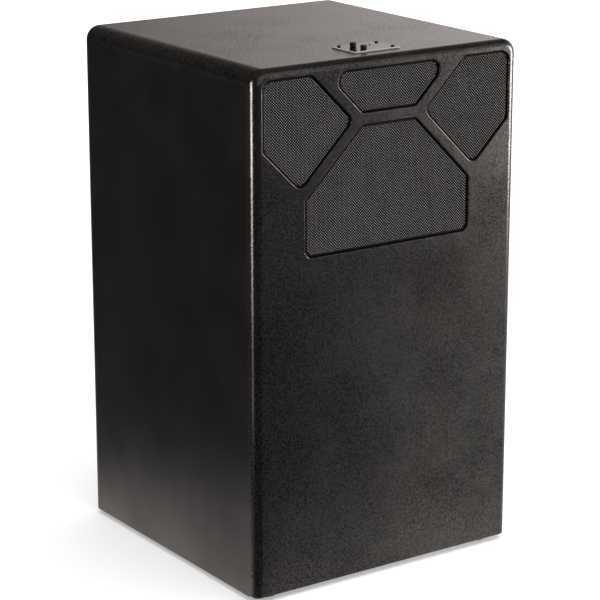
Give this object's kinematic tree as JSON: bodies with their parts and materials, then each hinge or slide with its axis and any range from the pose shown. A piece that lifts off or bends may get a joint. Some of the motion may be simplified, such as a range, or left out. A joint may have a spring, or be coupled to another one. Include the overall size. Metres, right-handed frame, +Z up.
{
  "type": "electronic cajon",
  "caption": "Black box drum to sit on, with mesh-textured trigger pads let into its upper front, a small control plate on the seat, and a loudspeaker, port, jacks and battery bay in its back.",
  "frame": {"origin": "on the floor under the middle of the box, level with the undersides of the feet", "axes": "+Z up, the playing face with its trigger pads looks along -Y, +X to the right as seen from the front"},
  "size_m": [0.3, 0.3, 0.5107],
  "materials": {
    "black_paint": "fine-grained satin black paint on fibreboard",
    "bare_wood": "raw",
    "pad_rubber": "moulded fine diagonal lattice",
    "pad_stiffener": "matt",
    "pad_foam": "open-cell foam",
    "sensor_brass": "satin",
    "control_gloss": "polished",
    "black_steel": "black oxide",
    "knob_black": "knurled",
    "pot_case": "satin",
    "circuit_board": "solder mask",
    "led_lens": "clear red",
    "standoff_brass": "turned",
    "raw_aluminium": "extruded",
    "basket_paint": "stamped, satin",
    "magnet_ferrite": "dull",
    "cone_paper": "pressed paper",
    "surround_rubber": "satin",
    "grille_paint": "powder coated, perforated",
    "moulded_black": "fine spark texture",
    "plate_paint": "satin powder coat",
    "jack_black": "with ring nut",
    "rocker_black": "semi-gloss",
    "plated_steel": "zinc plated",
    "cell_sleeve": "printed sleeve, plain",
    "foot_rubber": "matt",
    "wire_sheath": "matt"
  },
  "bodies": {
    "box": {"front_plate": "black_paint", "seat_top": "black_paint", "left_side": "black_paint", "right_side": "black_paint", "bottom_panel": "black_paint", "back_panel": "black_paint", "front_battens": "bare_wood", "back_battens": "bare_wood", "seat_brace": "bare_wood", "pad_foam_left": "pad_foam", "pad_foam_top": "pad_foam", "pad_foam_right": "pad_foam", "pad_foam_centre": "pad_foam", "control_plate": "control_gloss", "control_screws": "black_steel", "volume_pot": "pot_case", "kit_switch": "pot_case", "control_board": "circuit_board", "status_led": "led_lens", "main_board": "circuit_board", "board_standoffs": "standoff_brass", "heat_sink": "raw_aluminium", "speaker_basket": "basket_paint", "speaker_magnet": "magnet_ferrite", "speaker_surround": "surround_rubber", "speaker_grille": "grille_paint", "speaker_screws": "black_steel", "port_tube": "moulded_black", "jack_plate": "plate_paint", "jack_plate_screws": "black_steel", "line_out_jack": "jack_black", "phones_jack": "jack_black", "aux_jack": "jack_black", "dc_jack": "jack_black", "jack_board": "circuit_board", "switch_housing": "rocker_black", "battery_box": "moulded_black", "hinge_pin": "plated_steel", "batteries": "cell_sleeve", "rubber_feet": "foot_rubber", "foot_screws": "plated_steel", "back_panel_screws": "black_steel", "wiring_harness": "wire_sheath"},
    "pad_left": {"pad_cover_left": "pad_rubber", "pad_plate_left": "pad_stiffener", "pad_sensor_left": "sensor_brass"},
    "pad_top": {"pad_cover_top": "pad_rubber", "pad_plate_top": "pad_stiffener", "pad_sensor_top": "sensor_brass"},
    "pad_right": {"pad_cover_right": "pad_rubber", "pad_plate_right": "pad_stiffener", "pad_sensor_right": "sensor_brass"},
    "pad_centre": {"pad_cover_centre": "pad_rubber", "pad_plate_centre": "pad_stiffener", "pad_sensor_centre": "sensor_brass"},
    "volume_knob": {"volume_knob": "knob_black"},
    "kit_knob": {"kit_knob": "knob_black"},
    "speaker_cone": {"speaker_cone": "cone_paper"},
    "power_rocker": {"switch_rocker": "rocker_black"},
    "battery_door": {"battery_door": "moulded_black"}
  },
  "joints": [
    {"name": "pad_left_press", "type": "slide", "parent": "box", "child": "pad_left", "axis": [0, 1, 0], "range_m": [0, 0.001], "stiffness_N_per_m": 6000, "deforming": ["pad_foam_left"]},
    {"name": "pad_top_press", "type": "slide", "parent": "box", "child": "pad_top", "axis": [0, 1, 0], "range_m": [0, 0.001], "stiffness_N_per_m": 6000, "deforming": ["pad_foam_top"]},
    {"name": "pad_right_press", "type": "slide", "parent": "box", "child": "pad_right", "axis": [0, 1, 0], "range_m": [0, 0.001], "stiffness_N_per_m": 6000, "deforming": ["pad_foam_right"]},
    {"name": "pad_centre_press", "type": "slide", "parent": "box", "child": "pad_centre", "axis": [0, 1, 0], "range_m": [0, 0.001], "stiffness_N_per_m": 6000, "deforming": ["pad_foam_centre"]},
    {"name": "volume_turn", "type": "hinge", "parent": "box", "child": "volume_knob", "pos_m": [-0.011, -0.107, 0.509], "axis": [0, 0, 1], "range_deg": [-150, 150]},
    {"name": "kit_turn", "type": "hinge", "parent": "box", "child": "kit_knob", "pos_m": [-0.011, -0.1237, 0.509], "axis": [0, 0, 1], "range_deg": [-150, 150]},
    {"name": "cone_stroke", "type": "slide", "parent": "box", "child": "speaker_cone", "axis": [0, 1, 0], "range_m": [-0.002, 0.002], "stiffness_N_per_m": 2000, "deforming": ["speaker_surround"]},
    {"name": "power_rock", "type": "hinge", "parent": "box", "child": "power_rocker", "pos_m": [0.055, 0.1435, 0.445], "axis": [1, 0, 0], "range_deg": [0, 16]},
    {"name": "battery_door_swing", "type": "hinge", "parent": "box", "child": "battery_door", "pos_m": [0, 0.148, 0.404], "axis": [1, 0, 0], "range_deg": [0, 100]}
  ]
}
